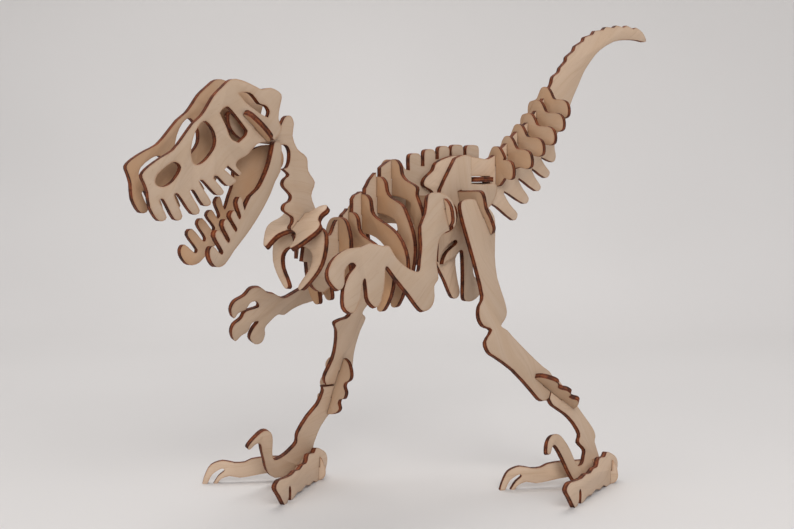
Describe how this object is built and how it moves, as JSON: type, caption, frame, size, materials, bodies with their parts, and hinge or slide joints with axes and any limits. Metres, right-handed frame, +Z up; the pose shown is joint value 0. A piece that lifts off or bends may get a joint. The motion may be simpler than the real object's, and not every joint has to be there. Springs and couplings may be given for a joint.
{
  "type": "wooden 3d jigsaw model",
  "caption": "Free-standing skeleton model of a two-legged dinosaur, slotted together from flat laser-cut plywood plates.",
  "frame": {"origin": "on the floor, under the middle of the model's bounding box", "axes": "+X from the nose towards the tail tip, +Z up, -Y side is the side of the leg that reaches back"},
  "size_m": [0.4112, 0.1922, 0.283],
  "materials": {
    "ankle_link_far": "bare birch plywood with laser-charred edges",
    "ankle_link_near": "bare birch plywood with laser-charred edges",
    "arm_far": "bare birch plywood with laser-charred edges",
    "arm_near": "bare birch plywood with laser-charred edges",
    "chest_cross": "bare birch plywood with laser-charred edges",
    "head_cross": "bare birch plywood with laser-charred edges",
    "hip_cross": "bare birch plywood with laser-charred edges",
    "jaw_far": "bare birch plywood with laser-charred edges",
    "jaw_near": "bare birch plywood with laser-charred edges",
    "leg_far": "bare birch plywood with laser-charred edges",
    "leg_near": "bare birch plywood with laser-charred edges",
    "long_toe_far": "bare birch plywood with laser-charred edges",
    "long_toe_near": "bare birch plywood with laser-charred edges",
    "neck_cross": "bare birch plywood with laser-charred edges",
    "pelvis_key": "bare birch plywood with laser-charred edges",
    "pelvis_plate": "bare birch plywood with laser-charred edges",
    "rib_1": "bare birch plywood with laser-charred edges",
    "rib_2": "bare birch plywood with laser-charred edges",
    "rib_3": "bare birch plywood with laser-charred edges",
    "rib_4": "bare birch plywood with laser-charred edges",
    "rib_5": "bare birch plywood with laser-charred edges",
    "shin_far": "bare birch plywood with laser-charred edges",
    "shin_near": "bare birch plywood with laser-charred edges",
    "shoulder_cross": "bare birch plywood with laser-charred edges",
    "side_toe_far": "bare birch plywood with laser-charred edges",
    "side_toe_near": "bare birch plywood with laser-charred edges",
    "skull_far": "bare birch plywood with laser-charred edges",
    "skull_near": "bare birch plywood with laser-charred edges",
    "spine_plate": "bare birch plywood with laser-charred edges",
    "tail_cross_1": "bare birch plywood with laser-charred edges",
    "tail_cross_2": "bare birch plywood with laser-charred edges",
    "tail_cross_3": "bare birch plywood with laser-charred edges",
    "tail_cross_4": "bare birch plywood with laser-charred edges",
    "tail_cross_5": "bare birch plywood with laser-charred edges",
    "tail_cross_6": "bare birch plywood with laser-charred edges",
    "tail_plate": "bare birch plywood with laser-charred edges"
  },
  "bodies": {
    "root": {"ankle_link_far": "ankle_link_far", "ankle_link_near": "ankle_link_near", "arm_far": "arm_far", "arm_near": "arm_near", "chest_cross": "chest_cross", "head_cross": "head_cross", "hip_cross": "hip_cross", "jaw_far": "jaw_far", "jaw_near": "jaw_near", "leg_far": "leg_far", "leg_near": "leg_near", "long_toe_far": "long_toe_far", "long_toe_near": "long_toe_near", "neck_cross": "neck_cross", "pelvis_key": "pelvis_key", "pelvis_plate": "pelvis_plate", "shin_far": "shin_far", "shin_near": "shin_near", "shoulder_cross": "shoulder_cross", "side_toe_far": "side_toe_far", "side_toe_near": "side_toe_near", "skull_far": "skull_far", "skull_near": "skull_near", "spine_plate": "spine_plate", "tail_plate": "tail_plate"},
    "rib_1_body": {"rib_1": "rib_1"},
    "rib_2_body": {"rib_2": "rib_2"},
    "rib_3_body": {"rib_3": "rib_3"},
    "rib_4_body": {"rib_4": "rib_4"},
    "rib_5_body": {"rib_5": "rib_5"},
    "tail_cross_1_body": {"tail_cross_1": "tail_cross_1"},
    "tail_cross_2_body": {"tail_cross_2": "tail_cross_2"},
    "tail_cross_3_body": {"tail_cross_3": "tail_cross_3"},
    "tail_cross_4_body": {"tail_cross_4": "tail_cross_4"},
    "tail_cross_5_body": {"tail_cross_5": "tail_cross_5"},
    "tail_cross_6_body": {"tail_cross_6": "tail_cross_6"}
  },
  "joints": [
    {"name": "rib_1_lift", "type": "slide", "parent": "root", "child": "rib_1_body", "axis": [0, 0, 1], "range_m": [0, 0.02]},
    {"name": "rib_2_lift", "type": "slide", "parent": "root", "child": "rib_2_body", "axis": [0, 0, 1], "range_m": [0, 0.02]},
    {"name": "rib_3_lift", "type": "slide", "parent": "root", "child": "rib_3_body", "axis": [0, 0, 1], "range_m": [0, 0.02]},
    {"name": "rib_4_lift", "type": "slide", "parent": "root", "child": "rib_4_body", "axis": [0, 0, 1], "range_m": [0, 0.02]},
    {"name": "rib_5_lift", "type": "slide", "parent": "root", "child": "rib_5_body", "axis": [0, 0, 1], "range_m": [0, 0.02]},
    {"name": "tail_cross_1_lift", "type": "slide", "parent": "root", "child": "tail_cross_1_body", "axis": [0, 0, 1], "range_m": [0, 0.02]},
    {"name": "tail_cross_2_lift", "type": "slide", "parent": "root", "child": "tail_cross_2_body", "axis": [0, 0, 1], "range_m": [0, 0.02]},
    {"name": "tail_cross_3_lift", "type": "slide", "parent": "root", "child": "tail_cross_3_body", "axis": [0, 0, 1], "range_m": [0, 0.02]},
    {"name": "tail_cross_4_lift", "type": "slide", "parent": "root", "child": "tail_cross_4_body", "axis": [0, 0, 1], "range_m": [0, 0.02]},
    {"name": "tail_cross_5_lift", "type": "slide", "parent": "root", "child": "tail_cross_5_body", "axis": [0, 0, 1], "range_m": [0, 0.02]},
    {"name": "tail_cross_6_lift", "type": "slide", "parent": "root", "child": "tail_cross_6_body", "axis": [0, 0, 1], "range_m": [0, 0.02]}
  ]
}
